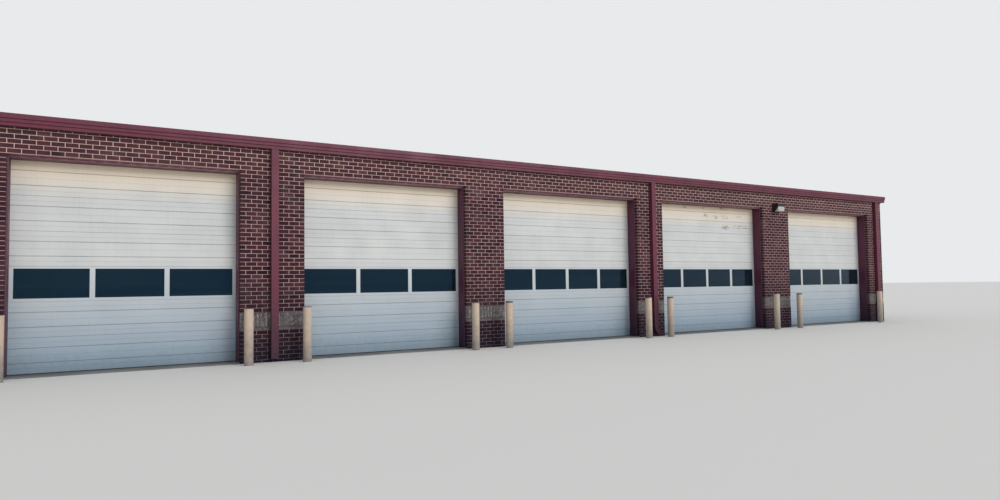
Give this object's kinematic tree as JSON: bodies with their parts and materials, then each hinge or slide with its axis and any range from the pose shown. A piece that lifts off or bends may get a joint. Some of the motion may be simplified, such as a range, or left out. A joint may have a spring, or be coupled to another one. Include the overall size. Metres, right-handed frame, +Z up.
{
  "type": "auto repair shop",
  "caption": "Single-storey brick service garage with a row of ribbed overhead doors, dark red steel frames and gutter, block band, low gable roof and guard posts",
  "frame": {"origin": "on the ground, in the middle of the walls' footprint, on the underside of the floor slab", "axes": "+X runs along the front to the right as seen from outside, +Y runs from the front with the doors to the back, +Z is up"},
  "size_m": [30.9508, 12.7758, 4.8873],
  "materials": {
    "brick": "dark red-brown face brick in grey-mauve mortar",
    "block": "rough split-face concrete block",
    "concrete": "trowelled concrete floor",
    "frame_paint": "dark red gloss paint on steel channel",
    "door_paint": "off-white baked enamel on ribbed steel",
    "window_glass": "clear glazing over a dark interior",
    "seal_rubber": "black rubber",
    "roof_metal": "light grey standing-seam sheet",
    "trim_paint": "dark red factory-painted sheet metal",
    "light_bronze": "dark bronze cast housing",
    "light_lens": "ribbed pale glass lens",
    "bollard_paint": "beige paint on steel pipe"
  },
  "bodies": {
    "root": {"back_block_band": "block", "back_downspouts": "trim_paint", "back_gutter": "trim_paint", "back_wall": "brick", "bollards": "bollard_paint", "door_1_sections": "door_paint", "door_1_window_frame": "door_paint", "door_2_sections": "door_paint", "door_2_window_frame": "door_paint", "door_3_sections": "door_paint", "door_3_window_frame": "door_paint", "door_4_sections": "door_paint", "door_4_window_frame": "door_paint", "door_5_sections": "door_paint", "door_5_window_frame": "door_paint", "door_6_sections": "door_paint", "door_6_window_frame": "door_paint", "door_bottom_seals": "seal_rubber", "door_frame_1": "frame_paint", "door_frame_2": "frame_paint", "door_frame_3": "frame_paint", "door_frame_4": "frame_paint", "door_frame_5": "frame_paint", "door_frame_6": "frame_paint", "door_glass": "window_glass", "floor_slab": "concrete", "front_block_band": "block", "front_downspouts": "trim_paint", "front_gutter": "trim_paint", "front_header_wall": "brick", "front_piers": "brick", "left_block_band": "block", "left_rake_trim": "trim_paint", "left_wall": "brick", "ridge_cap": "roof_metal", "right_block_band": "block", "right_rake_trim": "trim_paint", "right_wall": "brick", "roof_back": "roof_metal", "roof_front": "roof_metal", "wall_light_housing": "light_bronze", "wall_light_lens": "light_lens"}
  },
  "joints": []
}
